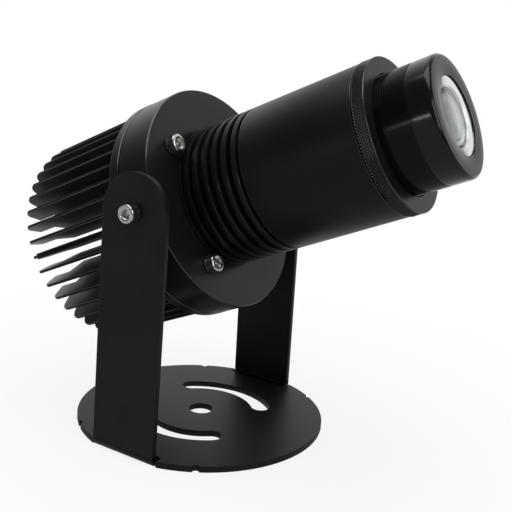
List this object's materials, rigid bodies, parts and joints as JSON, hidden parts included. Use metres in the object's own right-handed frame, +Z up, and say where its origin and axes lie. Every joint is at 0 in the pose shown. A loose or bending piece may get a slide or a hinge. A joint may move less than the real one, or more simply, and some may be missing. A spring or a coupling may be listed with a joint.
{
  "type": "gobo projector",
  "caption": "Small LED pattern projector: finned heat sink, ring housing and ribbed lens tube with a screw-focus barrel, tilting between the arms of a bent sheet yoke on a round slotted base.",
  "frame": {"origin": "centre of the round base on its underside, on the axis of its centre hole", "axes": "+X is the way the lamp head points, +Z is up, and the head tilts about a line parallel to Y"},
  "size_m": [0.2205, 0.1296, 0.1885],
  "materials": {
    "coated_sheet": "satin black powder coat",
    "anodised_black": "satin black anodised, turned",
    "fin_black": "black anodised, sawn fins",
    "stainless_screw": "plain stainless",
    "gobo_steel": "etched sheet",
    "lens_glass": "polished, coated",
    "black_nylon": "moulded",
    "white_plastic": "moulded",
    "board_aluminium": "bare, milled",
    "phosphor": "phosphor gel",
    "thermal_pad": "soft silicone",
    "seal_rubber": "moulded",
    "red_lead": "wire insulation",
    "black_lead": "wire insulation"
  },
  "bodies": {
    "base": {"yoke": "coated_sheet"},
    "head": {"tilt_screw_right": "stainless_screw", "tilt_screw_left": "stainless_screw", "tilt_spacer_right": "black_nylon", "tilt_spacer_left": "black_nylon", "housing": "anodised_black", "housing_screw_1": "stainless_screw", "housing_screw_2": "stainless_screw", "housing_screw_3": "stainless_screw", "housing_screw_4": "stainless_screw", "heat_sink": "fin_black", "thermal_pad": "thermal_pad", "led_board": "board_aluminium", "led_emitter": "phosphor", "led_holder": "white_plastic", "led_holder_screw_1": "stainless_screw", "led_holder_screw_2": "stainless_screw", "lead_red": "red_lead", "lead_black": "black_lead", "condenser_cell": "anodised_black", "condenser_rear_lens": "lens_glass", "condenser_spacer": "anodised_black", "condenser_front_lens": "lens_glass", "condenser_retaining_ring": "anodised_black", "gland_body": "black_nylon", "gland_seal": "seal_rubber", "gland_nut": "black_nylon"},
    "tube": {"main_tube": "anodised_black", "tube_seal": "seal_rubber", "gobo_holder": "anodised_black", "gobo": "gobo_steel", "gobo_clip": "stainless_screw"},
    "knurled_ring": {"lock_ring": "anodised_black"},
    "objective": {"objective_front_lens": "lens_glass", "objective_spacer": "board_aluminium", "objective_rear_lens": "lens_glass", "objective_retaining_ring": "anodised_black"},
    "barrel": {"focus_barrel": "anodised_black"}
  },
  "joints": [
    {"name": "head_tilt", "type": "hinge", "parent": "base", "child": "head", "pos_m": [0, 0, 0.1134], "axis": [0, -1, 0], "range_deg": [-58.4, 66.6]},
    {"name": "tube_pull", "type": "slide", "parent": "head", "child": "tube", "axis": [0.9178, 0, 0.3971], "range_m": [0, 0.012]},
    {"name": "lock_ring_turn", "type": "hinge", "parent": "tube", "child": "knurled_ring", "pos_m": [0.09255, 0, 0.15345], "axis": [0.9178, 0, 0.3971], "range_deg": [0, 180]},
    {"name": "focus_travel", "type": "slide", "parent": "tube", "child": "objective", "axis": [0.9178, 0, 0.3971], "range_m": [-0.012, 0.004]},
    {"name": "focus_turn", "type": "hinge", "parent": "objective", "child": "barrel", "pos_m": [0.09255, 0, 0.15345], "axis": [0.9178, 0, 0.3971], "range_deg": [-5760, 1920]}
  ],
  "couplings": [
    {"joint": "focus_travel", "follows": "focus_turn", "m_per_rad": 0.00011937}
  ]
}
